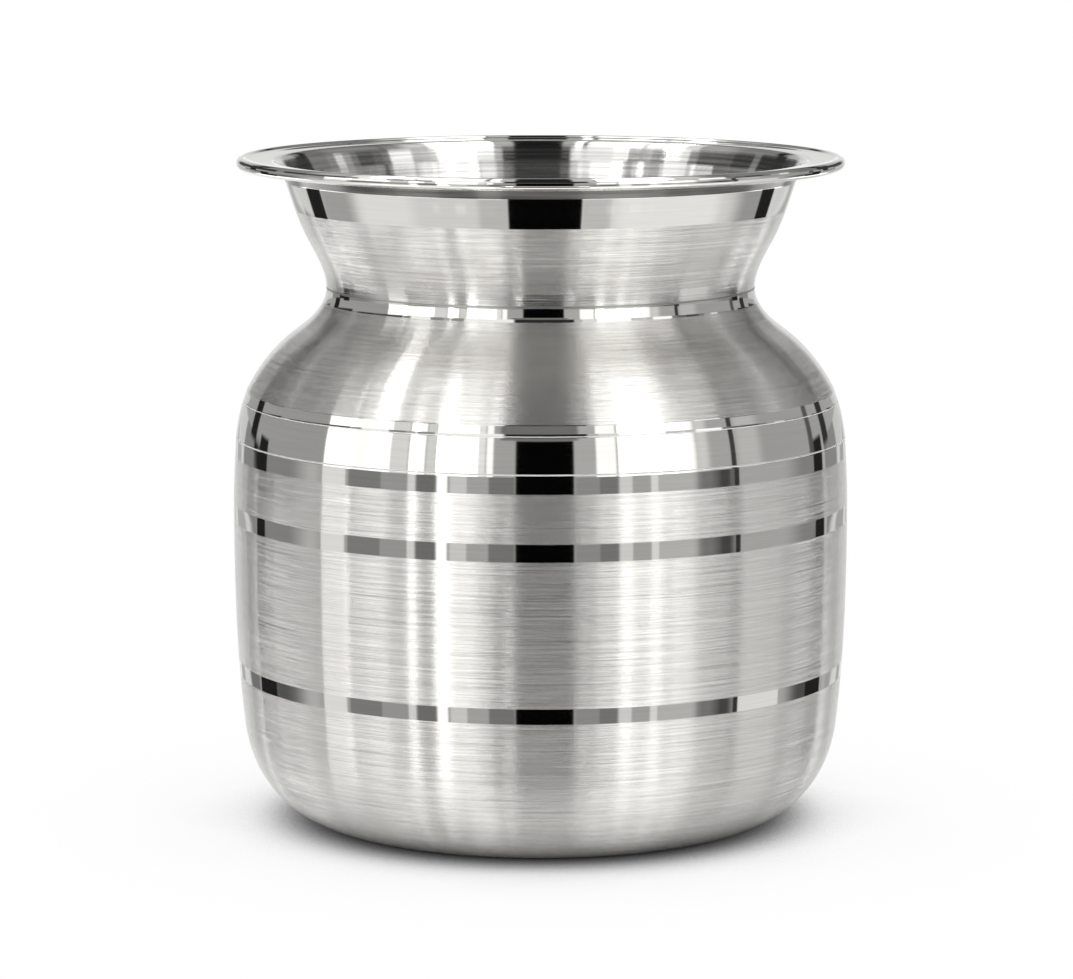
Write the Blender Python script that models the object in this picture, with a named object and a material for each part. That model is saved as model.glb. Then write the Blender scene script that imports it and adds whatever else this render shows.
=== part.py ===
"""A stainless-steel kalash pot, built as it is made in a workshop.

A deep-drawn cup carries a pressed shoulder, and the shoulder carries a flared mouth. Each joint is a lap: the lower
or inner sheet is stepped inwards by its own thickness, so that the outside stays flush, and a run of weld closes the
lap from inside. The rim is curled over a core wire. All pieces are turned about the Z axis, and the pot stands on
the plane z = 0. Lengths are in metres.
"""

import math

import bmesh
import bpy

# Sheet, wire and clearances
SHEET = 0.0006
LAP_CLEARANCE = 0.0003
WIRE_CLEARANCE = 0.0002

# Base
DISH_RADIUS = 0.038
DISH_DEPTH = 0.0010
DISH_STEP_WIDTH = 0.004
BASE_RADIUS = 0.0511
HEEL_BASE_REACH = 0.0058
HEEL_WALL_REACH = 0.0185

# Wall of the pot, from the heel up: height, outer radius, and how far the radius grows with each metre of height
HEEL_HEIGHT = 0.0241
HEEL_RADIUS = 0.0726
HEEL_FLARE = 0.115
BELLY_HEIGHT = 0.0765
BELLY_RADIUS = 0.0749
SEAM_HEIGHT = 0.0944
SEAM_RADIUS = 0.0742
SEAM_FLARE = -0.07
CREASE_HEIGHT = 0.1030
CREASE_RADIUS = 0.0723
CREASE_FLARE = -0.35
SHOULDER_HEIGHT = 0.1203
SHOULDER_RADIUS = 0.0587
SHOULDER_FLARE = -1.37
NECK_HEIGHT = 0.1304
NECK_RADIUS = 0.0520
FUNNEL_HEIGHT = 0.1413
FUNNEL_RADIUS = 0.0560
FUNNEL_FLARE = 0.55
MOUTH_HEIGHT = 0.1546
MOUTH_RADIUS = 0.0613
MOUTH_FLARE = 0.34

# Lip and curled rim: how far the rim stands above the mouth and out past it, and the bead of its curl
LIP_HEIGHT = 0.0074
LIP_WIDTH = 0.0122
BEAD_RADIUS = 0.00115
LIP_MOUTH_REACH = 0.0030
LIP_RIM_REACH = 0.0050
LIP_RISE = math.radians(4.0)
CURL_ANGLE = math.radians(265.0)

# Laps and welds
BELLY_LAP = 0.0050
NECK_LAP = 0.0035
WELD_LEG = 0.0012

# Fineness of the turned surfaces
TURN_STEPS = 60
HEEL_STEPS = 6
LIP_STEPS = 5
CURL_STEPS = 6
WIRE_SIDES = 8
WELD_STEPS = 3
BELLY_STEPS = 4
SHOULDER_STEPS = 10
FUNNEL_STEPS = 5

STATIONS = (
    (HEEL_HEIGHT, HEEL_RADIUS, HEEL_FLARE),
    (BELLY_HEIGHT, BELLY_RADIUS, 0.0),
    (SEAM_HEIGHT, SEAM_RADIUS, SEAM_FLARE),
    (CREASE_HEIGHT, CREASE_RADIUS, CREASE_FLARE),
    (SHOULDER_HEIGHT, SHOULDER_RADIUS, SHOULDER_FLARE),
    (NECK_HEIGHT, NECK_RADIUS, 0.0),
    (FUNNEL_HEIGHT, FUNNEL_RADIUS, FUNNEL_FLARE),
    (MOUTH_HEIGHT, MOUTH_RADIUS, MOUTH_FLARE),
)


def clear_scene():
    for thing in list(bpy.data.objects):
        bpy.data.objects.remove(thing, do_unlink=True)


def steel(name, colour, roughness):
    """A steel finish as a Principled material."""
    material = bpy.data.materials.new(name)
    material.use_nodes = True
    shader = material.node_tree.nodes["Principled BSDF"]
    shader.inputs["Base Color"].default_value = (*colour, 1.0)
    shader.inputs["Metallic"].default_value = 1.0
    shader.inputs["Roughness"].default_value = roughness
    return material


def bead_centre():
    """Middle of the curled rim, as (radius, height)."""
    return (MOUTH_RADIUS + LIP_WIDTH - BEAD_RADIUS, MOUTH_HEIGHT + LIP_HEIGHT - BEAD_RADIUS)


def wall_radius(height):
    """Outer radius of the pot's wall at a height: a smooth curve through the stations."""
    last = len(STATIONS) - 2
    index = max(i for i in range(last + 1) if i == 0 or STATIONS[i][0] <= height)
    low_height, low_radius, low_flare = STATIONS[index]
    high_height, high_radius, high_flare = STATIONS[index + 1]
    span = high_height - low_height
    t = (height - low_height) / span
    from_low = (2 * t**3 - 3 * t**2 + 1) * low_radius + (t**3 - 2 * t**2 + t) * span * low_flare
    from_high = (3 * t**2 - 2 * t**3) * high_radius + (t**3 - t**2) * span * high_flare
    return from_low + from_high


def wall(low, high, steps):
    """Points (radius, height) up the outside of the wall, both ends included."""
    heights = [low + (high - low) * i / steps for i in range(steps + 1)]
    return [(wall_radius(height), height) for height in heights]


def bezier(start, start_pull, end_pull, end, steps):
    """Points along a Bezier curve, without its first point."""
    points = []
    for i in range(1, steps + 1):
        t = i / steps
        weights = ((1 - t) ** 3, 3 * t * (1 - t) ** 2, 3 * t**2 * (1 - t), t**3)
        corners = (start, start_pull, end_pull, end)
        radius = sum(w * corner[0] for w, corner in zip(weights, corners))
        height = sum(w * corner[1] for w, corner in zip(weights, corners))
        points.append((radius, height))
    return points


def arc(centre, radius, start, turn, steps):
    """Points round a circle from an angle, both ends included."""
    angles = [start + turn * i / steps for i in range(steps + 1)]
    return [(centre[0] + radius * math.cos(a), centre[1] + radius * math.sin(a)) for a in angles]


def unit(start, end):
    """Direction from one point to the other."""
    length = math.dist(start, end)
    return ((end[0] - start[0]) / length, (end[1] - start[1]) / length)


def offset(points, distance):
    """The same run of points moved to its left-hand side, with its corners mitred."""
    moved = []
    for i, (radius, height) in enumerate(points):
        before = unit(points[max(i - 1, 0)], points[max(i, 1)])
        after = unit(points[min(i, len(points) - 2)], points[min(i + 1, len(points) - 1)])
        across = (-(before[1] + after[1]), before[0] + after[0])
        scale = 2 * distance / (across[0] ** 2 + across[1] ** 2)
        moved.append((radius + across[0] * scale, height + across[1] * scale))
    return moved


def sheet_metal(outside):
    """Closed outline of a sheet whose outer face runs from the base outwards and up."""
    inside = offset(outside, SHEET)
    return outside + inside[::-1]


def turned(name, outline, material):
    """A solid made by turning a closed outline once round the Z axis."""
    shape = bmesh.new()
    corners = [shape.verts.new((radius, 0.0, height)) for radius, height in outline]
    edges = [shape.edges.new((a, b)) for a, b in zip(corners, corners[1:] + corners[:1])]
    bmesh.ops.spin(
        shape,
        geom=corners + edges,
        cent=(0.0, 0.0, 0.0),
        axis=(0.0, 0.0, 1.0),
        angle=2 * math.pi,
        steps=TURN_STEPS,
        use_merge=True,
    )
    bmesh.ops.remove_doubles(shape, verts=shape.verts, dist=1e-6)
    bmesh.ops.recalc_face_normals(shape, faces=shape.faces)
    mesh = bpy.data.meshes.new(name)
    shape.to_mesh(mesh)
    shape.free()
    mesh.shade_smooth()
    mesh.set_sharp_from_angle(angle=math.radians(50.0))
    mesh.materials.append(material)
    piece = bpy.data.objects.new(name, mesh)
    bpy.context.scene.collection.objects.link(piece)
    return piece


def make_base_cup(finish):
    """Dished base, rounded heel and belly wall, with a tongue that stands inside the shoulder shell."""
    ledge = SEAM_HEIGHT - LAP_CLEARANCE
    step = SHEET + LAP_CLEARANCE
    outside = [(0.0, DISH_DEPTH), (DISH_RADIUS, DISH_DEPTH), (DISH_RADIUS + DISH_STEP_WIDTH, 0.0), (BASE_RADIUS, 0.0)]
    outside += bezier(
        (BASE_RADIUS, 0.0),
        (BASE_RADIUS + HEEL_BASE_REACH, 0.0),
        (HEEL_RADIUS - HEEL_FLARE * HEEL_WALL_REACH, HEEL_HEIGHT - HEEL_WALL_REACH),
        (HEEL_RADIUS, HEEL_HEIGHT),
        HEEL_STEPS,
    )
    outside += wall(HEEL_HEIGHT, ledge, BELLY_STEPS)[1:]
    outside += [(radius - step, height) for radius, height in wall(ledge, ledge + BELLY_LAP, 2)]
    inside = offset(outside, SHEET)
    inside[0] = (0.0, DISH_DEPTH + SHEET)
    return turned("base_cup", outside + inside[::-1], finish)


def make_shoulder_shell(finish):
    """Upper half of the body, from the belly seam to the neck."""
    outside = wall(SEAM_HEIGHT, NECK_HEIGHT, SHOULDER_STEPS)
    return turned("shoulder_shell", sheet_metal(outside), finish)


def make_mouth_collar(finish):
    """Funnel of the mouth: spigot, flared wall, lip and the curl round the wire."""
    ledge = NECK_HEIGHT + LAP_CLEARANCE
    spigot_radius = NECK_RADIUS - SHEET - LAP_CLEARANCE
    bead = bead_centre()
    curl_radius = BEAD_RADIUS - SHEET
    lip_end = (bead[0], bead[1] + curl_radius)
    mouth = (MOUTH_RADIUS, MOUTH_HEIGHT)
    outside = [(spigot_radius, NECK_HEIGHT - NECK_LAP), (spigot_radius, ledge)]
    outside += wall(ledge, MOUTH_HEIGHT, FUNNEL_STEPS)
    outside += bezier(
        mouth,
        (mouth[0] + MOUTH_FLARE * LIP_MOUTH_REACH, mouth[1] + LIP_MOUTH_REACH),
        (lip_end[0] - LIP_RIM_REACH, lip_end[1] - LIP_RIM_REACH * math.tan(LIP_RISE)),
        lip_end,
        LIP_STEPS,
    )
    outside += arc(bead, curl_radius, math.pi / 2, -CURL_ANGLE, CURL_STEPS)[1:]
    return turned("mouth_collar", sheet_metal(outside), finish)


def make_rim_wire(finish):
    """Core wire inside the curled rim."""
    radius = BEAD_RADIUS - SHEET - WIRE_CLEARANCE
    return turned("rim_wire", arc(bead_centre(), radius, 0.0, 2 * math.pi, WIRE_SIDES)[:-1], finish)


def weld_run(name, wall_side, edge, direction, finish):
    """Fillet of weld in the corner between a sheet's edge and the wall beside it.

    wall_side gives the largest radius that clears the wall at a height, edge is the height of the sheet's edge, and
    direction is +1 where the weld lies above the edge and -1 where it lies below.
    """
    foot = edge + direction * LAP_CLEARANCE
    tip = foot + direction * WELD_LEG
    corner = [(wall_side(foot), foot), (wall_side(tip), tip)]
    bow = []
    for i in range(1, WELD_STEPS + 1):
        angle = math.pi / 2 * (1 - i / WELD_STEPS)
        height = foot + direction * WELD_LEG * math.sin(angle)
        bow.append((wall_side(foot) - WELD_LEG * math.cos(angle), height))
    return turned(name, corner + bow, finish)


def make_belly_weld(finish):
    """Weld on the cup's top edge, inside the shoulder shell."""
    edge = SEAM_HEIGHT - LAP_CLEARANCE + BELLY_LAP
    return weld_run("belly_weld", lambda height: wall_radius(height) - SHEET - LAP_CLEARANCE, edge, 1, finish)


def make_neck_weld(finish):
    """Weld under the spigot's edge, inside the shoulder shell."""
    edge = NECK_HEIGHT - NECK_LAP
    return weld_run("neck_weld", lambda height: wall_radius(height) - SHEET - LAP_CLEARANCE, edge, -1, finish)


def main():
    clear_scene()
    make_base_cup(steel("brushed steel of the cup", (0.62, 0.61, 0.60), 0.28))
    make_shoulder_shell(steel("brushed steel of the shoulder", (0.64, 0.63, 0.62), 0.24))
    make_mouth_collar(steel("polished steel of the mouth", (0.68, 0.67, 0.66), 0.16))
    make_rim_wire(steel("drawn steel wire", (0.48, 0.48, 0.48), 0.40))
    make_belly_weld(steel("weld of the belly", (0.42, 0.40, 0.38), 0.50))
    make_neck_weld(steel("weld of the neck", (0.42, 0.40, 0.38), 0.50))


main()
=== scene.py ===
"""Looks of a stainless-steel kalash pot: sheet-metal shells with mirror and brushed bands, in a studio.

Every shell is drawn as runs of profile points in the plane y = 0, one run for each finish, and each run is
spun about the Z axis. A profile point is (radius, height). The runs go up the outside and down the inside.
Lengths are in metres. The studio's cards and backdrop are in degrees.
"""

import math

import bpy
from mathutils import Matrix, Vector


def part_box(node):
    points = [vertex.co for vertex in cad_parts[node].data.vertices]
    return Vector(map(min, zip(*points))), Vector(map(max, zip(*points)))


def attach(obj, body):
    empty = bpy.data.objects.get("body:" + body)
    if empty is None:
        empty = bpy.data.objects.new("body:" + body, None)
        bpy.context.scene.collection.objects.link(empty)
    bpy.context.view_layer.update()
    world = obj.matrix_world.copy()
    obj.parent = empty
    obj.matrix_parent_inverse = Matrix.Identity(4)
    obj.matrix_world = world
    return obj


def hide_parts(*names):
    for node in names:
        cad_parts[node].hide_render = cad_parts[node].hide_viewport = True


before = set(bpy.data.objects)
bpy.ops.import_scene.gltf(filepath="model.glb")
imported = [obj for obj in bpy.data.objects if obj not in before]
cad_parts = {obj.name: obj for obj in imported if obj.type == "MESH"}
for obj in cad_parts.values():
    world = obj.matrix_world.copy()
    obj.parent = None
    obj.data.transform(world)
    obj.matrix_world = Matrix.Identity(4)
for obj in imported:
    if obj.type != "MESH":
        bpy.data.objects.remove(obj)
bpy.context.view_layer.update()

# The solids' own sizes, read from the frame
BELLY_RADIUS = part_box("base_cup")[1].x
RIM_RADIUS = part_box("mouth_collar")[1].x
SEAM_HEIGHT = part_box("shoulder_shell")[0].z
NECK_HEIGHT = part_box("shoulder_shell")[1].z

# Rim, sheet and laps
RIM_HEIGHT = 0.1620
SHEET = 0.0006
LAP_STEP = 0.0009
TONGUE_HEIGHT = 0.0047
TONGUE_BEND = 0.0001
SPIGOT_DEPTH = 0.0035

# Base and heel. A reach is how far a curve keeps the direction that it has at its end
DISH_RADIUS = 0.038
DISH_DEPTH = 0.0010
DISH_STEP_WIDTH = 0.004
BASE_RADIUS = 0.0511
HEEL_BASE_REACH = 0.0058
HEEL_WALL_REACH = 0.0185

# Wall stations: height, outer radius, and how far the radius grows with each metre of height
HEEL = (0.0241, 0.0726, 0.115)
BELLY = (0.0765, BELLY_RADIUS, 0.0)
SEAM_BELOW = (SEAM_HEIGHT, 0.0742, -0.052)
SEAM_ABOVE = (SEAM_HEIGHT, 0.0742, -0.137)
CREASE = (0.1030, 0.0723, -0.35)
STEP_FOOT = (0.1032, 0.0722, -0.35)
STEP_HEAD = (0.10545, 0.07144, -0.33)
SHOULDER_FOOT = (0.10545, 0.07144, -0.52)
SHOULDER = (0.1203, 0.0587, -1.37)
NECK = (NECK_HEIGHT, 0.0520, 0.0)
FUNNEL = (0.1413, 0.0560, 0.55)
MOUTH = (0.1564, 0.0619, 0.34)

# Lip, flange and bead. A rise is the direction of a curve at its end, up from level
BEAD_RADIUS = 0.0014
FLANGE = (0.0652, 0.1606)
LIP_FOOT_REACH = 0.0031
LIP_FOOT_RISE = math.radians(60.0)
LIP_FLANGE_REACH = 0.0012
FLANGE_REACH = 0.0042
FLANGE_RISE = math.radians(2.0)
BEAD_REACH = 0.0009
CURL_START = math.radians(130.0)
CURL_TURN = math.radians(280.0)

# Heights where the finish changes, from the base up
LOW_BAND = (0.03615, 0.03983)
BELT = (0.07416, 0.07833)
SEAM_BAND_LOW = 0.0898
NECK_BAND_LOW = 0.1270
NECK_BAND_TOP = 0.1337
MOUTH_BAND_LOW = 0.1493

# Crease lines at the seams, and the gap between the sheets' rounded edges
CREASE_WIDTH = 0.00048
RIDGE_RADIUS = 0.00018
RIDGE_TURN = math.radians(40.0)
RIDGE_FOOT_WIDTH = CREASE_WIDTH / 5
EDGE_GAP = 0.00006
EDGE_ROUND = 0.00010
CUP_EDGE_ROUND = 0.00020

# How finely the shells are drawn: steps round the axis and along the curves, and spacing up the wall
TURN_STEPS = 320
HEEL_STEPS = 28
CUP_EDGE_STEPS = 6
FOOT_EDGE_STEPS = 4
RIDGE_STEPS = 5
LIP_STEPS = 32
FLANGE_STEPS = 24
CURL_STEPS = 32
MIDDLE_SPACING = 0.0020
WALL_SPACING = 0.0015
FUNNEL_SPACING = 0.0008
SHOULDER_SPACING = 0.0006
BAND_SPACING = 0.0006
MOUTH_SPACING = 0.0005
SEAM_SPACING = 0.0004
STEP_SPACING = 0.0003
LINE_SPACING = 0.0001

# The plane merged into a run's first corner, how near points are merged, and the angle of a sharp edge
CORNER_SIZE = 0.001
MERGE_DISTANCE = 1e-6
SHARP_EDGE = math.radians(25.0)


def hermite(low, high, height):
    """Radius at a height on the curve between two stations."""
    span = high[0] - low[0]
    t = (height - low[0]) / span
    from_low = (2 * t**3 - 3 * t**2 + 1) * low[1] + (t**3 - 2 * t**2 + t) * span * low[2]
    from_high = (3 * t**2 - 2 * t**3) * high[1] + (t**3 - t**2) * span * high[2]
    return from_low + from_high


def wall_radius(height):
    """Outer radius of the pot at a height between the heel and the mouth."""
    spans = (
        (HEEL, BELLY),
        (BELLY, SEAM_BELOW),
        (SEAM_ABOVE, CREASE),
        (CREASE, STEP_FOOT),
        (STEP_FOOT, STEP_HEAD),
        (SHOULDER_FOOT, SHOULDER),
        (SHOULDER, NECK),
        (NECK, FUNNEL),
        (FUNNEL, MOUTH),
    )
    for low, high in spans:
        if height < high[0]:
            return hermite(low, high, height)
    return hermite(*spans[-1], height)


def wall(low, high, spacing):
    """Points (radius, height) up the outside of the wall, both ends included."""
    steps = max(2, math.ceil((high - low) / spacing))
    heights = [low + (high - low) * i / steps for i in range(steps + 1)]
    return [(wall_radius(height), height) for height in heights]


def bezier(start, start_pull, end_pull, end, steps):
    """Points along a Bezier curve, both ends included."""
    corners = (start, start_pull, end_pull, end)
    points = []
    for i in range(steps + 1):
        t = i / steps
        weights = ((1 - t) ** 3, 3 * t * (1 - t) ** 2, 3 * t**2 * (1 - t), t**3)
        radius = sum(weight * corner[0] for weight, corner in zip(weights, corners))
        height = sum(weight * corner[1] for weight, corner in zip(weights, corners))
        points.append((radius, height))
    return points


def arc(centre, radius, start, turn, steps):
    """Points round a circle from an angle, both ends included."""
    angles = [start + turn * i / steps for i in range(steps + 1)]
    return [(centre[0] + radius * math.cos(a), centre[1] + radius * math.sin(a)) for a in angles]


def unit(start, end):
    """Direction from one point to another."""
    length = math.dist(start, end)
    return ((end[0] - start[0]) / length, (end[1] - start[1]) / length)


def offset(points, distance):
    """The same run of points moved to its left-hand side, with its corners mitred."""
    moved = []
    for i, (radius, height) in enumerate(points):
        before = unit(points[max(i - 1, 0)], points[max(i, 1)])
        after = unit(points[min(i, len(points) - 2)], points[min(i + 1, len(points) - 1)])
        across = (-(before[1] + after[1]), before[0] + after[0])
        scale = 2 * distance / (across[0] ** 2 + across[1] ** 2)
        moved.append((radius + across[0] * scale, height + across[1] * scale))
    return moved


def spin_run(points, material):
    """One run of profile points, drawn by extruding a corner and spun once round the Z axis."""
    bpy.ops.object.select_all(action="DESELECT")
    bpy.ops.mesh.primitive_plane_add(size=CORNER_SIZE)
    run = bpy.context.object
    bpy.ops.object.mode_set(mode="EDIT")
    bpy.ops.mesh.select_all(action="SELECT")
    bpy.ops.mesh.merge(type="CENTER")
    bpy.ops.transform.translate(value=(points[0][0], 0.0, points[0][1]))
    for (radius, height), (next_radius, next_height) in zip(points, points[1:]):
        step = (next_radius - radius, 0.0, next_height - height)
        bpy.ops.mesh.extrude_region_move(TRANSFORM_OT_translate={"value": step})
    bpy.ops.object.mode_set(mode="OBJECT")
    turn = run.modifiers.new("turn", "SCREW")
    turn.axis = "Z"
    turn.steps = TURN_STEPS
    turn.render_steps = TURN_STEPS
    turn.use_merge_vertices = True
    turn.merge_threshold = MERGE_DISTANCE
    bpy.ops.object.transform_apply(location=True, rotation=True, scale=True)
    bpy.ops.object.modifier_apply(modifier=turn.name)
    run.data.materials.append(material)
    return run


def turned(name, runs):
    """A closed shell from runs of profile points, each with its finish, that together close an outline."""
    parts = [spin_run(points, material) for points, material in runs]
    bpy.ops.object.select_all(action="DESELECT")
    for part in parts:
        part.select_set(True)
    bpy.context.view_layer.objects.active = parts[0]
    bpy.ops.object.join()
    piece = bpy.context.object
    piece.name = name
    piece.data.name = name
    bpy.ops.object.mode_set(mode="EDIT")
    bpy.ops.mesh.select_all(action="SELECT")
    bpy.ops.mesh.remove_doubles(threshold=MERGE_DISTANCE)
    bpy.ops.mesh.select_all(action="SELECT")
    bpy.ops.mesh.normals_make_consistent(inside=False)
    bpy.ops.object.mode_set(mode="OBJECT")
    bpy.ops.object.shade_smooth_by_angle(angle=SHARP_EDGE)
    bpy.ops.object.transform_apply(location=True, rotation=True, scale=True)
    return piece


def number(links, socket, given):
    """Feeds a socket from another socket or with a plain number."""
    if isinstance(given, (int, float)):
        socket.default_value = given
    elif given is not None:
        links.new(given, socket)


def math_node(tree, operation, first, second=None):
    """A Math node fed with sockets or plain numbers, and its result."""
    node = tree.nodes.new("ShaderNodeMath")
    node.operation = operation
    number(tree.links, node.inputs[0], first)
    number(tree.links, node.inputs[1], second)
    return node.outputs[0]


def new_group(name, given, made):
    """An empty shader node group with plain number inputs and outputs."""
    group = bpy.data.node_groups.new(name, "ShaderNodeTree")
    for socket in given:
        group.interface.new_socket(socket, in_out="INPUT", socket_type="NodeSocketFloat")
    for socket in made:
        group.interface.new_socket(socket, in_out="OUTPUT", socket_type="NodeSocketFloat")
    return group, group.nodes.new("NodeGroupInput").outputs, group.nodes.new("NodeGroupOutput").inputs


def brush_lines_group():
    """Lines that run round the pot: a grain too fine to see singly, and the longer lines that show.

    Lean is how much the lines' spacing follows the radius beside the height.
    """
    sizes = ("Lean", "Grain Pitch", "Grain Length", "Line Pitch", "Line Length")
    group, given, made = new_group("brush lines", sizes, ("Grain", "Lines"))
    nodes, links = group.nodes, group.links
    place = nodes.new("ShaderNodeSeparateXYZ")
    links.new(nodes.new("ShaderNodeTexCoord").outputs["Object"], place.inputs[0])
    x, y, z = place.outputs
    square_x = math_node(group, "MULTIPLY", x, x)
    square_y = math_node(group, "MULTIPLY", y, y)
    radius = math_node(group, "SQRT", math_node(group, "ADD", square_x, square_y))
    along = math_node(group, "ADD", z, math_node(group, "MULTIPLY", radius, given["Lean"]))
    for kind, out, detail in (("Grain", "Grain", 0.0), ("Line", "Lines", 2.0)):
        where = nodes.new("ShaderNodeCombineXYZ")
        links.new(math_node(group, "DIVIDE", x, given[kind + " Length"]), where.inputs[0])
        links.new(math_node(group, "DIVIDE", y, given[kind + " Length"]), where.inputs[1])
        links.new(math_node(group, "DIVIDE", along, given[kind + " Pitch"]), where.inputs[2])
        noise = nodes.new("ShaderNodeTexNoise")
        noise.inputs["Scale"].default_value = 1.0
        noise.inputs["Detail"].default_value = detail
        links.new(where.outputs[0], noise.inputs["Vector"])
        links.new(noise.outputs[0], made[out])
    return group


def haze_group():
    """Soft cloudy patches, as handling and uneven polishing leave on bare steel."""
    group, given, made = new_group("polishing haze", ("Size",), ("Haze",))
    nodes, links = group.nodes, group.links
    scale = math_node(group, "DIVIDE", 1.0, given["Size"])
    noise = nodes.new("ShaderNodeTexNoise")
    noise.inputs["Detail"].default_value = 3.0
    links.new(nodes.new("ShaderNodeTexCoord").outputs["Object"], noise.inputs["Vector"])
    links.new(scale, noise.inputs["Scale"])
    links.new(noise.outputs[0], made["Haze"])
    return group


BRUSH_LINES = brush_lines_group()
HAZE = haze_group()


def mapped(tree, value, low, high, spread=0.25):
    """A noise value stretched about its middle to run from low to high."""
    node = tree.nodes.new("ShaderNodeMapRange")
    node.clamp = True
    tree.links.new(value, node.inputs["Value"])
    ends = {"From Min": 0.5 - spread, "From Max": 0.5 + spread, "To Min": low, "To Max": high}
    for name, end in ends.items():
        node.inputs[name].default_value = end
    return node.outputs["Result"]


# Grain and haze of the polish, how much of each shows in the colour, and how the grain dents the steel
GRAIN_PITCH = 0.000025
GRAIN_LENGTH = 0.02
HAZE_SIZE = 0.03
STREAK_SHARE = 0.88
HAZE_SHARE = 0.12
DENT_FILTER = 0.004
BRUSH_TURN = 0.25


def steel(
    name, dark, pale, smooth, rough,
    metal=1.0, brushed=0.0, lean=0.0,
    line_pitch=0.0006, line_length=0.025,
    grain_depth=0.0, line_depth=0.0,
):
    """Bare steel.

    Its colour and roughness run between two values with the brush lines, and grain and lines dent it.
    """
    material = bpy.data.materials.new(name)
    material.use_nodes = True
    tree = material.node_tree
    shader = tree.nodes["Principled BSDF"]
    shader.inputs["Metallic"].default_value = metal
    lines = tree.nodes.new("ShaderNodeGroup")
    lines.node_tree = BRUSH_LINES
    for socket, value in (
        ("Lean", lean),
        ("Grain Pitch", GRAIN_PITCH),
        ("Grain Length", GRAIN_LENGTH),
        ("Line Pitch", line_pitch),
        ("Line Length", line_length),
    ):
        lines.inputs[socket].default_value = value
    haze = tree.nodes.new("ShaderNodeGroup")
    haze.node_tree = HAZE
    haze.inputs["Size"].default_value = HAZE_SIZE
    streaks = mapped(tree, lines.outputs["Lines"], 0.0, 1.0)
    cloud = mapped(tree, haze.outputs["Haze"], 0.0, 1.0)
    streak_part = math_node(tree, "MULTIPLY", streaks, STREAK_SHARE)
    haze_part = math_node(tree, "MULTIPLY", cloud, HAZE_SHARE)
    uneven = math_node(tree, "ADD", streak_part, haze_part)
    tint = tree.nodes.new("ShaderNodeMix")
    tint.data_type = "RGBA"
    tint.inputs["A"].default_value = (*dark, 1.0)
    tint.inputs["B"].default_value = (*pale, 1.0)
    tree.links.new(uneven, tint.inputs["Factor"])
    tree.links.new(tint.outputs["Result"], shader.inputs["Base Color"])
    tree.links.new(mapped(tree, uneven, smooth, rough, 0.5), shader.inputs["Roughness"])
    if brushed:
        shader.inputs["Anisotropic"].default_value = brushed
        shader.inputs["Anisotropic Rotation"].default_value = BRUSH_TURN
        tangent = tree.nodes.new("ShaderNodeTangent")
        tangent.direction_type = "RADIAL"
        tangent.axis = "Z"
        tree.links.new(tangent.outputs["Tangent"], shader.inputs["Tangent"])
    if grain_depth or line_depth:
        grain = math_node(tree, "MULTIPLY", lines.outputs["Grain"], grain_depth)
        line = math_node(tree, "MULTIPLY", lines.outputs["Lines"], line_depth)
        dents = tree.nodes.new("ShaderNodeBump")
        dents.inputs["Distance"].default_value = 1.0
        dents.inputs["Filter Width"].default_value = DENT_FILTER
        tree.links.new(math_node(tree, "ADD", grain, line), dents.inputs["Height"])
        tree.links.new(dents.outputs["Normal"], shader.inputs["Normal"])
    return material


STEEL_DARK = (0.655, 0.648, 0.622)
STEEL_PALE = (0.705, 0.698, 0.670)
SATIN_DARK = (0.61, 0.600, 0.576)
SATIN_PALE = (0.765, 0.753, 0.725)
INSIDE_DARK = (0.38, 0.375, 0.365)
INSIDE_PALE = (0.86, 0.85, 0.83)


def satin(name, lean, smooth=0.10, rough=0.15):
    """Brushed steel of the outside."""
    return steel(
        name, SATIN_DARK, SATIN_PALE, smooth, rough,
        metal=0.82, brushed=1.0, lean=lean,
        line_pitch=0.00034, line_length=0.06,
        grain_depth=0.000020, line_depth=0.0000003,
    )


MIRROR = steel("mirror polish", STEEL_DARK, STEEL_PALE, 0.03, 0.05)
HALF_MIRROR = steel(
    "half polish", STEEL_DARK, STEEL_PALE, 0.07, 0.10,
    brushed=0.9, lean=0.2,
    line_pitch=0.00025, line_length=0.05,
    grain_depth=0.000012, line_depth=0.0000005,
)
SATIN = satin("satin, belly", 0.0)
SHOULDER_SATIN = satin("satin, shoulder", -0.55)
NECK_SATIN = satin("satin, neck", 0.25)
HEEL_SATIN = satin("satin, heel", 0.8, smooth=0.12, rough=0.17)
INSIDE = steel(
    "brushed inside", INSIDE_DARK, INSIDE_PALE, 0.08, 0.12,
    brushed=1.0, lean=0.3,
    line_pitch=0.0009, line_length=0.05,
    grain_depth=0.000003, line_depth=0.000012,
)
# Edges: rougher, burnished steel, and a pale, partly diffuse colour that paints the white glint along the
# crease ridge and the lap edges
EDGE = steel("burnished edge with painted glint", (0.86, 0.85, 0.84), (0.92, 0.91, 0.90), 0.38, 0.48, metal=0.35)
NECK_CREASE = steel("neck crease", (0.50, 0.49, 0.475), (0.56, 0.55, 0.53), 0.30, 0.40)
# Near-black steel on the lip under the flange: painted shade, standing in for the shadow that falls under
# the rim and its bead
RIM_UNDERSIDE_SHADE = steel("painted shade under the rim", (0.05, 0.049, 0.047), (0.13, 0.128, 0.123), 0.10, 0.18)
WIRE = steel("drawn wire", (0.42, 0.42, 0.42), (0.52, 0.52, 0.52), 0.25, 0.40, line_depth=0.00001)
WELD = steel(
    "brushed weld", (0.36, 0.34, 0.32), (0.46, 0.44, 0.42), 0.35, 0.55,
    line_length=0.004, line_depth=0.00004,
)


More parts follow.
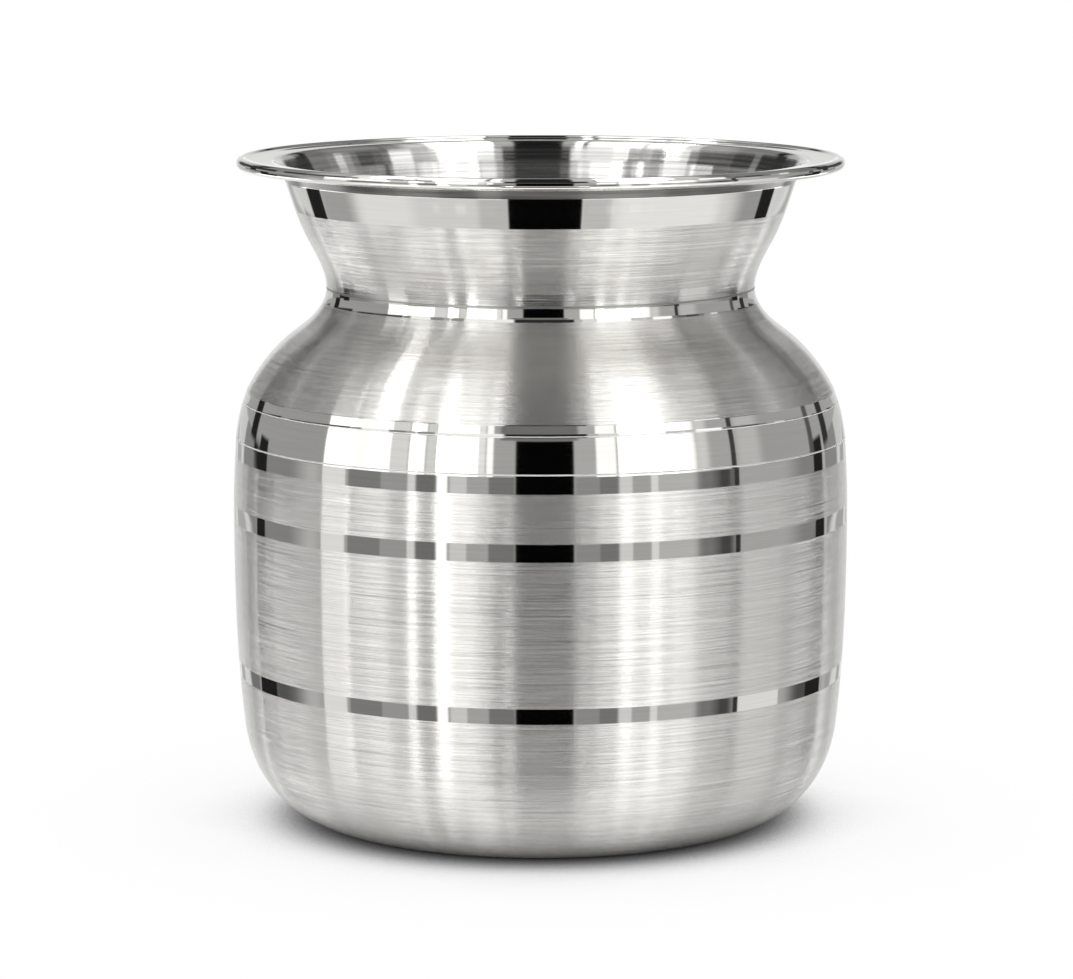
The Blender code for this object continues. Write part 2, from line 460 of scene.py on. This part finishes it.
def make_base_cup():
    """Base, heel and belly wall, with the top edge joggled inwards as a tongue for the lap."""
    ledge = SEAM_HEIGHT - EDGE_GAP / 2
    base = [
        (0.0, DISH_DEPTH),
        (DISH_RADIUS, DISH_DEPTH),
        (DISH_RADIUS + DISH_STEP_WIDTH, 0.0),
        (BASE_RADIUS, 0.0),
    ]
    heel = bezier(
        (BASE_RADIUS, 0.0),
        (BASE_RADIUS + HEEL_BASE_REACH, 0.0),
        (HEEL[1] - HEEL[2] * HEEL_WALL_REACH, HEEL[0] - HEEL_WALL_REACH),
        (HEEL[1], HEEL[0]),
        HEEL_STEPS,
    )
    low_satin = wall(HEEL[0], LOW_BAND[0], WALL_SPACING)
    low_band = wall(*LOW_BAND, BAND_SPACING)
    middle_satin = wall(LOW_BAND[1], BELT[0], MIDDLE_SPACING)
    belt = wall(*BELT, BAND_SPACING)
    upper_satin = wall(BELT[1], SEAM_BAND_LOW, WALL_SPACING)
    seam_band = wall(SEAM_BAND_LOW, ledge - CUP_EDGE_ROUND, SEAM_SPACING)
    edge_radius = wall_radius(ledge)
    edge_centre = (edge_radius - CUP_EDGE_ROUND, ledge - CUP_EDGE_ROUND)
    edge = arc(edge_centre, CUP_EDGE_ROUND, 0.0, math.pi / 2, CUP_EDGE_STEPS)
    edge[0] = seam_band[-1]
    tongue_radius = edge_radius - LAP_STEP
    tongue_top = (tongue_radius, ledge + TONGUE_HEIGHT)
    tongue = [edge[-1], (tongue_radius, ledge), tongue_top]
    outside = base + heel[1:] + low_satin[1:] + middle_satin[1:] + upper_satin[1:-1]
    outside += [(edge_radius, ledge), (tongue_radius, ledge + TONGUE_BEND), tongue_top]
    inside = offset(outside, SHEET)
    inside[0] = (0.0, DISH_DEPTH + SHEET)
    runs = [
        (base, HEEL_SATIN),
        (heel, HEEL_SATIN),
        (low_satin, SATIN),
        (low_band, MIRROR),
        (middle_satin, SATIN),
        (belt, MIRROR),
        (upper_satin, SATIN),
        (seam_band, MIRROR),
        (edge, EDGE),
        (tongue, INSIDE),
        ([tongue[-1]] + inside[::-1], INSIDE),
    ]
    return turned("base_cup_shell", runs)


def make_shoulder_shell():
    """Upper half of the body, from the belly seam over the shoulder to the neck."""
    foot = SEAM_HEIGHT + EDGE_GAP / 2
    foot_radius = wall_radius(foot)
    foot_centre = (foot_radius - EDGE_ROUND, foot + EDGE_ROUND)
    foot_edge = arc(foot_centre, EDGE_ROUND, -math.pi / 2, math.pi / 2, FOOT_EDGE_STEPS)
    seam_band = wall(foot + EDGE_ROUND, CREASE[0] - CREASE_WIDTH / 2, SEAM_SPACING)
    foot_edge[-1] = seam_band[0]
    ridge_start = -math.atan(CREASE[2])
    ridge_foot = seam_band[-1]
    ridge_centre = (
        ridge_foot[0] - RIDGE_RADIUS * math.cos(ridge_start),
        ridge_foot[1] - RIDGE_RADIUS * math.sin(ridge_start),
    )
    ridge = arc(ridge_centre, RIDGE_RADIUS, ridge_start, RIDGE_TURN, RIDGE_STEPS)
    ridge[0] = ridge_foot
    step_band = wall(ridge[-1][1] + RIDGE_FOOT_WIDTH, STEP_HEAD[0], STEP_SPACING)
    shoulder = wall(STEP_HEAD[0], NECK_BAND_LOW, SHOULDER_SPACING)
    neck_line_foot = NECK_HEIGHT - CREASE_WIDTH / 2
    neck_band = wall(NECK_BAND_LOW, neck_line_foot, STEP_SPACING)
    neck_line = wall(neck_line_foot, NECK_HEIGHT, LINE_SPACING)
    outside = [(foot_radius, foot)] + seam_band[1:] + step_band[1:]
    outside += shoulder[1:] + neck_band[1:] + neck_line[1:]
    inside = offset(outside, SHEET)
    runs = [
        ([inside[0], foot_edge[0]], EDGE),
        (foot_edge, EDGE),
        (seam_band, MIRROR),
        # the ridge's pale edge colour paints its white glint
        (ridge + step_band[:1], EDGE),
        (step_band, MIRROR),
        (shoulder, SHOULDER_SATIN),
        (neck_band, MIRROR),
        (neck_line, NECK_CREASE),
        ([neck_line[-1]] + inside[::-1], INSIDE),
    ]
    return turned("shoulder_shell_polished", runs)


def make_mouth_collar():
    """Funnel from the neck to the rim: spigot, flared wall, lip, flange, and the curl over the wire."""
    ledge = NECK_HEIGHT + EDGE_GAP
    spigot_radius = NECK[1] - LAP_STEP
    bead = (RIM_RADIUS - BEAD_RADIUS, RIM_HEIGHT - BEAD_RADIUS)
    curl_radius = BEAD_RADIUS - SHEET
    spigot = [(spigot_radius, NECK_HEIGHT - SPIGOT_DEPTH), (spigot_radius, ledge)]
    neck_line_top = ledge + CREASE_WIDTH / 2
    neck_line = wall(ledge, neck_line_top, LINE_SPACING)
    neck_band = wall(neck_line_top, NECK_BAND_TOP, SEAM_SPACING)
    funnel = wall(NECK_BAND_TOP, MOUTH_BAND_LOW, FUNNEL_SPACING)
    mouth_band = wall(MOUTH_BAND_LOW, MOUTH[0], MOUTH_SPACING)
    curl = arc(bead, curl_radius, CURL_START, -CURL_TURN, CURL_STEPS)
    pull_across = LIP_FOOT_REACH * math.cos(LIP_FOOT_RISE)
    pull_up = LIP_FOOT_REACH * math.sin(LIP_FOOT_RISE)
    lip = bezier(
        (MOUTH[1], MOUTH[0]),
        (MOUTH[1] + pull_across, MOUTH[0] + pull_up),
        (FLANGE[0] - LIP_FLANGE_REACH, FLANGE[1] - LIP_FLANGE_REACH * math.tan(FLANGE_RISE)),
        FLANGE,
        LIP_STEPS,
    )
    flange = bezier(
        FLANGE,
        (FLANGE[0] + FLANGE_REACH, FLANGE[1] + FLANGE_REACH * math.tan(FLANGE_RISE)),
        (curl[0][0] - BEAD_REACH * math.sin(CURL_START), curl[0][1] + BEAD_REACH * math.cos(CURL_START)),
        curl[0],
        FLANGE_STEPS,
    )
    below_lip = spigot + neck_line + neck_band[1:] + funnel[1:] + mouth_band[1:]
    outside = below_lip + lip[1:] + flange[1:] + curl[1:]
    inside = offset(outside, SHEET)
    flange_start = next(i for i, (radius, height) in enumerate(inside) if radius > FLANGE[0])
    runs = [
        ([inside[0]] + spigot, INSIDE),
        ([spigot[-1]] + neck_line, NECK_CREASE),
        (neck_band, HALF_MIRROR),
        (funnel, NECK_SATIN),
        (mouth_band, MIRROR),
        # the lip under the flange is painted near-black, as the shade under the rim
        (lip, RIM_UNDERSIDE_SHADE),
        (flange, MIRROR),
        (curl, MIRROR),
        ([curl[-1]] + inside[: flange_start - 1 : -1], MIRROR),
        (inside[flange_start::-1], INSIDE),
    ]
    return turned("mouth_collar_polished", runs)


# Camera, fitted to the photo: 1.13 m before the pot, 0.244 m above its base, looking 8.2 degrees down
CAMERA_PLACE = (-0.00099, -1.1295, 0.2440)
CAMERA_TILT = math.radians(81.753)
LENS_MILLIMETRES = 156.54
SENSOR_MILLIMETRES = 36.0


def look_at_photo():
    """Camera at the photograph's place."""
    lens = bpy.data.cameras.new("camera")
    camera = bpy.data.objects.new("camera", lens)
    bpy.context.scene.collection.objects.link(camera)
    camera.location = CAMERA_PLACE
    camera.rotation_euler = (CAMERA_TILT, 0.0, 0.0)
    lens.lens = LENS_MILLIMETRES
    lens.sensor_width = SENSOR_MILLIMETRES
    bpy.context.scene.camera = camera


# Floor, and how much light it keeps where so much of the space above it is open
FLOOR_SIZE = 5.0
FLOOR_GAP = 0.00005
SHADOW_REACH = 0.12
SHADOW_SAMPLES = 8
SHADOW_STOPS = ((0.0, 0.0), (0.2, 0.15), (0.35, 0.45), (0.45, 0.70), (0.62, 0.945), (0.80, 1.0))


def pale_floor():
    """A clear floor that shows only the pot's own soft shadow, to the camera and in the steel alike."""
    bpy.ops.object.select_all(action="DESELECT")
    bpy.ops.mesh.primitive_plane_add(size=FLOOR_SIZE, location=(0.0, 0.0, -FLOOR_GAP))
    floor = bpy.context.object
    floor.name = "floor"
    bpy.ops.object.transform_apply(location=True, rotation=True, scale=True)
    material = bpy.data.materials.new("white floor")
    material.use_nodes = True
    tree = material.node_tree
    tree.nodes.clear()
    shelter = tree.nodes.new("ShaderNodeAmbientOcclusion")
    shelter.samples = SHADOW_SAMPLES
    shelter.inputs["Distance"].default_value = SHADOW_REACH
    ramp = tree.nodes.new("ShaderNodeValToRGB")
    ramp.color_ramp.interpolation = "LINEAR"
    stops = ramp.color_ramp.elements
    while len(stops) < len(SHADOW_STOPS):
        stops.new(1.0)
    for stop, (open_share, light) in zip(stops, SHADOW_STOPS):
        stop.position = open_share
        stop.color = (light, light, light, 1.0)
    clear = tree.nodes.new("ShaderNodeBsdfTransparent")
    output = tree.nodes.new("ShaderNodeOutputMaterial")
    tree.links.new(shelter.outputs["AO"], ramp.inputs[0])
    tree.links.new(ramp.outputs["Color"], clear.inputs["Color"])
    tree.links.new(clear.outputs[0], output.inputs[0])
    floor.data.materials.append(material)


# The studio round the pot, painted on the sky as cards. A steel wall brushed round the pot spreads each
# reflection in a fan up and down, so the cards stand in fans too. A card's sides are angles round the pot,
# 0 towards the camera and positive to its right, that follow the fans overhead. A ring's heights are angles
# up the fans from the horizon. Each ring has its lowest and highest height, how soft its edges are, and its
# cards. Each card has its name, its left and right side, how soft they are, and how bright it is. Later
# rings and cards cover earlier ones.
STUDIO = (
    (-200, -66, 6, (
        ("floor near the pot", -181, 181, 0.5, 1.05),
        ("floor near the pot, right", 55, 145, 20, 0.74),
        ("floor near the pot, in front", -40, 15, 15, 1.3),
    )),
    (-70, -50, 6, (
        ("floor", -181, 181, 0.5, 1.0),
        ("floor before the pot", -78, 78, 4, 1.5),
        ("floor behind, left", -181, -136, 4, 0.50),
        ("floor behind, right", 136, 181, 4, 0.48),
        ("floor, left rear", -134, -98, 5, 2.5),
        ("floor, right rear", 108, 138, 4, 2.2),
        ("lit floor, left", -67, -50, 1, 2.2),
        ("lit floor, second left", -50, -46, 1, 2.2),
        ("lit floor, third left", -28, -17.5, 1, 2.8),
        ("lit floor, near right", 18.5, 26, 1, 2.6),
        ("lit floor, right", 26, 46, 1, 2.8),
        ("lit floor, second right", 46, 57, 1, 2.3),
        ("floor in front", -16, 13, 0.8, 1.35),
    )),
    (-52, -32, 3, (
        ("table", -181, 181, 0.5, 0.88),
        ("table, left rear", -142, -130, 1, 0.3),
        ("table, left", -120, -94, 6, 0.48),
        ("table before the left softbox", -90, -60, 5, 1.02),
        ("table, front left", -28, -13, 2, 0.68),
        ("table, front right", 19, 32, 1, 0.70),
        ("table before the right softbox", 34, 88, 5, 1.10),
        ("table, right", 100, 127, 8, 0.42),
        ("table, right rear", 140, 154, 1, 0.95),
        ("table behind", 156, 181, 1, 0.72),
    )),
    (-40, -29, 2, (
        ("low shelf", -181, 181, 0.5, 0.50),
        ("low shelf, rear left", -181, -133, 2, 0.62),
        ("low shelf, rear right", 133, 181, 2, 0.62),
        ("low shelf, left rear", -117, -92, 3, 0.80),
        ("low shelf, left", -72, -50, 2, 0.90),
        ("low shelf, middle left", -50, -20, 1, 0.85),
        ("low shelf, right", 21, 76, 1, 0.95),
        ("low strip light, left", -49.5, -46.3, 0.7, 3.0),
        ("low strip light, third left", -38.5, -33.8, 0.7, 3.0),
        ("low strip light, right", 29.5, 33.5, 0.7, 2.4),
        ("low strip light, second right", 40.5, 45.5, 0.7, 2.2),
        ("low strip light, third right", 49.5, 52, 0.7, 1.6),
    )),
    (-32, 0, 1.5, (
        ("low wall, right rear", 130, 181, 1, 0.69),
        ("low wall, left rear", -181, -131, 1, 0.72),
        ("low grey wall, left rear", -148, -131, 1, 0.30),
        ("low grey wall, right rear", 133, 147, 1, 0.32),
        ("low wall, right", 79, 130, 0.5, 0.52),
        ("low wall, far right", 108, 130, 8, 0.30),
        ("low wall, left", -131, -88, 0.5, 0.30),
        ("low wall, near left", -100, -88, 8, 0.62),
        ("foot of the left softbox", -88.5, -77, 0.5, 1.0),
        ("low grey", -75.5, -61, 0.5, 0.27),
        ("low grey, right half", -61, -50, 0.5, 0.42),
        ("low strip, left", -50, -47, 0.5, 0.90),
        ("low dark grey", -46.5, -39, 0.5, 0.21),
        ("low bright strip", -38.5, -34.5, 0.5, 1.6),
        ("low pale strip", -33.5, -27, 0.5, 0.80),
        ("low grey, third", -27, -19.5, 0.5, 0.50),
        ("low front, left", -19, -9.5, 0.5, 0.24),
        ("low front, right", 12.8, 21.5, 0.5, 0.35),
        ("low grey, right", 21.5, 28.5, 0.5, 0.24),
        ("low strip, right", 29, 34, 0.5, 0.85),
        ("low grey, second right", 34, 41, 0.5, 0.50),
        ("low strip, second right", 41, 44, 0.5, 0.95),
        ("low grey, third right", 44, 60, 0.5, 0.62),
        ("low dark, right", 60, 70, 3, 0.24),
        ("low darker, right", 68, 76, 3, 0.08),
    )),
    (-38, -19, 1.5, (
        ("foot of the right wall", 78.5, 100, 0.5, 0.98),
        ("dark foot, left rear", -122, -104, 8, 0.12),
        ("dark foot, right rear", 108, 123, 6, 0.10),
    )),
    (-50, -24, 1.5, (
        ("foot of the rear wall, left", -181, -131, 1, 0.80),
        ("foot of the rear wall, right", 134, 181, 1, 0.80),
    )),
    (-42, -28, 1.5, (
        ("grey foot, left rear", -181, -141, 3, 0.50),
        ("darker foot, left rear", -142, -131, 2, 0.22),
        ("grey foot, right rear", 134, 181, 3, 0.45),
    )),
    (0, 44, 2, (
        ("rear wall, right", 157, 181, 6, 0.62),
        ("rear wall, left", -181, -158, 6, 0.66),
        ("right rear", 78, 157, 0.5, 0.46),
        ("left rear", -158, -88, 0.5, 0.43),
        ("right wall", 78, 90, 3, 0.66),
        ("left softbox, first panel", -88, -76, 0.5, 1.85),
        ("left softbox, bright edge", -77, -74.5, 0.5, 3.0),
        ("left softbox, second panel", -74.5, -67, 0.5, 1.5),
        ("left softbox, third panel", -68, -57.5, 0.5, 1.7),
        ("left softbox, shaded side", -57.5, -50.5, 0.5, 0.95),
        ("second left softbox", -50, -43.5, 0.5, 1.6),
        ("second left softbox, lamp", -49.5, -46.3, 0.5, 3.6),
        ("gap on the left", -43, -39.5, 0.5, 0.9),
        ("third left softbox", -39, -33, 0.5, 4.0),
        ("third left softbox, side", -33, -23, 0.5, 2.3),
        ("third left softbox, shaded side", -23, -20.5, 0.5, 1.1),
        ("narrow left strip", -20, -17.5, 0.5, 1.5),
        ("room left of the camera", -17, -9, 0.5, 0.50),
        ("room right of the camera", 12, 20.5, 0.5, 0.56),
        ("right softbox, first panel", 20.5, 28, 0.5, 1.5),
        ("right softbox, bright panel", 29, 34, 0.8, 3.0),
        ("right softbox, middle", 34, 40, 0.5, 1.8),
        ("right softbox, second bright panel", 40, 46, 0.8, 2.5),
        ("right softbox, last panel", 46, 57.5, 0.5, 1.85),
        ("right softbox, lamp", 50, 52, 0.5, 2.6),
        ("right softbox, edge", 55.5, 60, 0.7, 1.9),
        ("right softbox, shaded side", 59, 66, 3, 0.85),
        ("right of the softbox", 66, 78, 2, 0.52),
    )),
    (42, 130, 4, (
        ("ceiling", -181, 181, 0.5, 0.30),
        ("ceiling behind, left", -181, -141, 3, 0.58),
        ("ceiling behind, right", 141, 181, 3, 0.56),
        ("left roof light, outer edge", -96, -74, 8, 0.58),
        ("left roof light, first panel", -76, -67, 1, 1.1),
        ("left roof light, second panel", -67, -57, 0.7, 6.5),
        ("left roof light, shaded side", -57, -48, 2, 2.0),
        ("left roof light, third panel", -47, -42, 0.7, 2.6),
        ("left roof light, fourth panel", -42, -38.5, 0.7, 2.6),
        ("left roof light, bright panel", -38.5, -33, 0.7, 3.6),
        ("left roof light, fifth panel", -33, -21, 0.7, 1.9),
        ("narrow left roof light", -18.7, -15.3, 0.5, 3.2),
        ("roof left of the slit", -15.3, -9.5, 0.7, 0.66),
        ("slit over the camera", -9.5, 12, 0.7, 0.02),
        ("roof right of the slit", 12, 20, 0.7, 0.74),
        ("right roof light", 21, 52, 0.5, 3.7),
        ("right roof light, outer edge", 50, 64, 5, 0.85),
        ("dark ceiling, right", 112, 127, 4, 0.22),
    )),
    (130, 160, 4, (
        ("dark ceiling overhead", -181, 181, 0.5, 0.14),
    )),
    (160, 200, 4, (
        ("top of the backdrop", -181, 181, 0.5, 0.80),
    )),
    (-55, -26, 2, (
        ("left stand, foot", -130.5, -117.5, 0.5, 0.02),
        ("right stand, foot", 118, 130, 0.5, 0.02),
        ("dark floor in front", -14.5, 18.5, 0.5, 0.002),
    )),
    (-37, -23, 2, (
        ("grey floor in front", -14.5, 18.5, 0.5, 0.95),
    )),
    (-38.5, -32, 1, (
        ("narrow strip light, left", -12.8, -10.2, 0.5, 6.0),
        ("narrow strip light, right", 14.0, 18.0, 0.5, 2.6),
    )),
    (-27, 3, 1.5, (
        ("left stand, low", -130.5, -123.5, 0.5, 0.02),
        ("right stand, low", 123, 130.5, 0.5, 0.02),
        ("right near stand, low", 76.3, 78.6, 0.3, 0.04),
    )),
    (-15, -3, 1.5, (
        ("left stand, middle", -136, -127, 0.5, 0.02),
    )),
    (-4, 44, 2, (
        ("left stand", -141.5, -135, 0.7, 0.02),
        ("right stand", 132.5, 138, 0.7, 0.04),
        ("right second stand", 120.5, 124, 0.7, 0.12),
        ("right near stand", 75.3, 77.6, 0.3, 0.06),
    )),
    (44, 76, 2, (
        ("left stand, upper", -141.5, -131, 1, 0.01),
        ("right stand, upper", 129, 139.5, 1, 0.01),
    )),
    (76, 150, 5, (
        ("left stand, top", -136, -128, 1.5, 0.02),
        ("right stand, top", 126.5, 133.5, 1.5, 0.02),
    )),
    (44, 150, 5, (
        ("right near stand, top", 74, 76.5, 0.5, 0.20),
    )),
    (-27, 27, 1.5, (
        ("dark gap at the camera", -9.2, 12.2, 0.5, 0.002),
    )),
    (27, 31.5, 1, (
        ("dark ceiling over the camera", -15, 14, 1, 0.22),
    )),
    (31.5, 61, 1, (
        ("low roof, right rear", 113, 128, 1, 0.25),
        ("low roof, right, grey", 107, 113, 0.7, 0.33),
        ("low roof, right, white", 101, 107, 0.7, 0.98),
        ("low roof, right, pale", 96, 101, 0.7, 0.48),
        ("low roof, right, dim", 92, 96, 0.7, 0.25),
        ("low roof, right, dark", 82, 92, 0.7, 0.095),
        ("low roof, right of the stand", 77, 82, 0.7, 0.16),
        ("low roof, beside the softbox", 73, 77, 0.7, 0.28),
        ("low roof, right softbox, edge", 61, 73, 0.7, 1.5),
        ("low roof, right softbox, shade", 56, 61, 0.7, 0.70),
        ("low roof, right softbox, middle", 48, 56, 0.7, 0.78),
        ("low roof, right softbox", 30, 48, 0.7, 1.6),
        ("low roof, first panel", 22, 30, 0.7, 1.0),
        ("low roof, near right", 17.5, 22, 0.7, 0.65),
        ("low roof, near left", -40, -14, 0.7, 1.25),
        ("low roof, left gap", -48, -40.5, 0.7, 0.38),
        ("low roof, second left", -52, -48, 0.7, 0.55),
        ("low roof, left shade", -60, -52, 0.7, 0.33),
        ("low roof, left softbox", -72, -60, 0.7, 1.25),
        ("low roof, beside the left softbox", -77, -72, 0.7, 0.33),
        ("low roof, left", -98, -77, 1, 0.11),
        ("low roof, left, dark", -113, -98, 1, 0.05),
        ("low roof, left, dim", -118, -113, 1, 0.30),
    )),
    (31.5, 61, 1, (
        ("low end of the slit", -13.5, 17.5, 0.7, 0.035),
    )),
    (26, 66, 1.5, (
        ("low roof, far right rear", 128, 147, 1, 0.05),
        ("low roof, far left rear", -150, -118, 1, 0.05),
    )),
    (15, 66, 2, (
        ("low roof behind, right", 144, 181, 1, 0.08),
        ("low roof behind, left", -181, -149, 1, 0.08),
    )),
)

# The sky under all the rings
UNPAINTED = 0.5

# Steel sees white behind the pot, from this angle round the pot on and this far over and under the horizon
BACKDROP_EDGE = 174.0
BACKDROP_HEIGHT = 3.5

# All fans would meet straight behind the pot, so the sky is this plain there, and fades into them between
# these two angles from that point
PLAIN_BEHIND = 0.80
PLAIN_BEHIND_INNER = math.radians(11.0)
PLAIN_BEHIND_OUTER = math.radians(21.0)

WHITE = (1.0, 1.0, 1.0, 1.0)


def soft_step(tree, value, edge, softness):
    """0 before the edge and 1 after it, with a soft change between."""
    step = tree.nodes.new("ShaderNodeMapRange")
    step.interpolation_type = "SMOOTHSTEP"
    step.clamp = False
    tree.links.new(value, step.inputs["Value"])
    number(tree.links, step.inputs["From Min"], math_node(tree, "SUBTRACT", edge, softness))
    number(tree.links, step.inputs["From Max"], math_node(tree, "ADD", edge, softness))
    return step.outputs["Result"]


def band_mask(tree, value, low, high, softness):
    """1 between two edges and 0 outside them, each edge soft."""
    from_low = soft_step(tree, value, low, softness)
    from_high = soft_step(tree, value, high, softness)
    return math_node(tree, "SUBTRACT", from_low, from_high)


def laid_over(tree, behind, front, share):
    """One brightness laid over another where its share is 1."""
    mix = tree.nodes.new("ShaderNodeMix")
    mix.data_type = "FLOAT"
    number(tree.links, mix.inputs["Factor"], share)
    number(tree.links, mix.inputs["A"], behind)
    number(tree.links, mix.inputs["B"], front)
    return mix.outputs["Result"]


def painted_band_group():
    """Node group that lays one brightness over another between two soft edges."""
    sockets = ("Behind", "Front", "Place", "Low", "High", "Edge")
    group, given, made = new_group("painted band", sockets, ("Light",))
    share = band_mask(group, given["Place"], given["Low"], given["High"], given["Edge"])
    group.links.new(laid_over(group, given["Behind"], given["Front"], share), made["Light"])
    return group


def painted_band(tree, group, label, sockets):
    """A painted band placed in the tree, its inputs fed in order with sockets or numbers, and its result."""
    node = tree.nodes.new("ShaderNodeGroup")
    node.node_tree = group
    node.label = label
    for socket, given in zip(node.inputs, sockets):
        number(tree.links, socket, given)
    return node.outputs["Light"]


def studio():
    """White to the camera, and to all else the painted cards, with the white backdrop behind the pot."""
    world = bpy.data.worlds.new("studio")
    bpy.context.scene.world = world
    world.use_nodes = True
    world.cycles.sampling_method = "NONE"
    tree = world.node_tree
    nodes, links = tree.nodes, tree.links
    nodes.clear()
    where = nodes.new("ShaderNodeSeparateXYZ")
    links.new(nodes.new("ShaderNodeTexCoord").outputs["Generated"], where.inputs[0])
    x, y, z = where.outputs
    before = math_node(tree, "MULTIPLY", y, -1.0)
    azimuth = math_node(tree, "DEGREES", math_node(tree, "ARCTAN2", x, before))
    elevation = math_node(tree, "DEGREES", math_node(tree, "ARCSINE", z))
    # each fan belongs to the place on the pot's side that sees it, half as far round
    place = math_node(tree, "ARCTAN2", x, math_node(tree, "SUBTRACT", 1.0, y))
    out_x = math_node(tree, "MULTIPLY", x, math_node(tree, "SINE", place))
    out_y = math_node(tree, "MULTIPLY", y, math_node(tree, "COSINE", place))
    outward = math_node(tree, "SUBTRACT", out_x, out_y)
    across = math_node(tree, "DEGREES", math_node(tree, "MULTIPLY", place, 2.0))
    up = math_node(tree, "DEGREES", math_node(tree, "ARCTAN2", z, outward))
    group = painted_band_group()
    light = UNPAINTED
    for low, high, level_edge, cards in STUDIO:
        ring = light
        for name, left, right, side_edge, brightness in cards:
            ring = painted_band(tree, group, name, (ring, brightness, across, left, right, side_edge))
        light = painted_band(tree, group, "ring", (light, ring, up, low, high, level_edge))
    inner = math.cos(PLAIN_BEHIND_INNER)
    outer = math.cos(PLAIN_BEHIND_OUTER)
    plain_share = soft_step(tree, y, (inner + outer) / 2, (inner - outer) / 2)
    light = laid_over(tree, light, PLAIN_BEHIND, plain_share)
    white = nodes.new("ShaderNodeBackground")
    white.inputs["Color"].default_value = WHITE
    painted = nodes.new("ShaderNodeBackground")
    painted.inputs["Color"].default_value = WHITE
    links.new(light, painted.inputs["Strength"])
    rays = nodes.new("ShaderNodeLightPath").outputs
    behind = math_node(tree, "GREATER_THAN", math_node(tree, "ABSOLUTE", azimuth), BACKDROP_EDGE)
    level = math_node(tree, "LESS_THAN", math_node(tree, "ABSOLUTE", elevation), BACKDROP_HEIGHT)
    in_steel = math_node(tree, "MAXIMUM", rays["Is Glossy Ray"], rays["Is Transmission Ray"])
    reflected = math_node(tree, "MULTIPLY", math_node(tree, "MULTIPLY", behind, level), in_steel)
    shows_white = math_node(tree, "MAXIMUM", rays["Is Camera Ray"], reflected)
    mix = nodes.new("ShaderNodeMixShader")
    output = nodes.new("ShaderNodeOutputWorld")
    links.new(shows_white, mix.inputs[0])
    links.new(painted.outputs[0], mix.inputs[1])
    links.new(white.outputs[0], mix.inputs[2])
    links.new(mix.outputs[0], output.inputs[0])


for make, nodes_replaced, slot in (
    (make_base_cup, ["base_cup"], "brushed_body"),
    (make_shoulder_shell, ["shoulder_shell"], "brushed_body"),
    (make_mouth_collar, ["mouth_collar"], "brushed_mouth"),
):
    piece = make()
    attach(piece, "root")
    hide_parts(*nodes_replaced)
for node, material in (("rim_wire", WIRE), ("belly_weld", WELD), ("neck_weld", WELD)):
    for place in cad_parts[node].material_slots:
        place.material = material
look_at_photo()
pale_floor()
studio()
bpy.context.scene.view_settings.view_transform = "Standard"
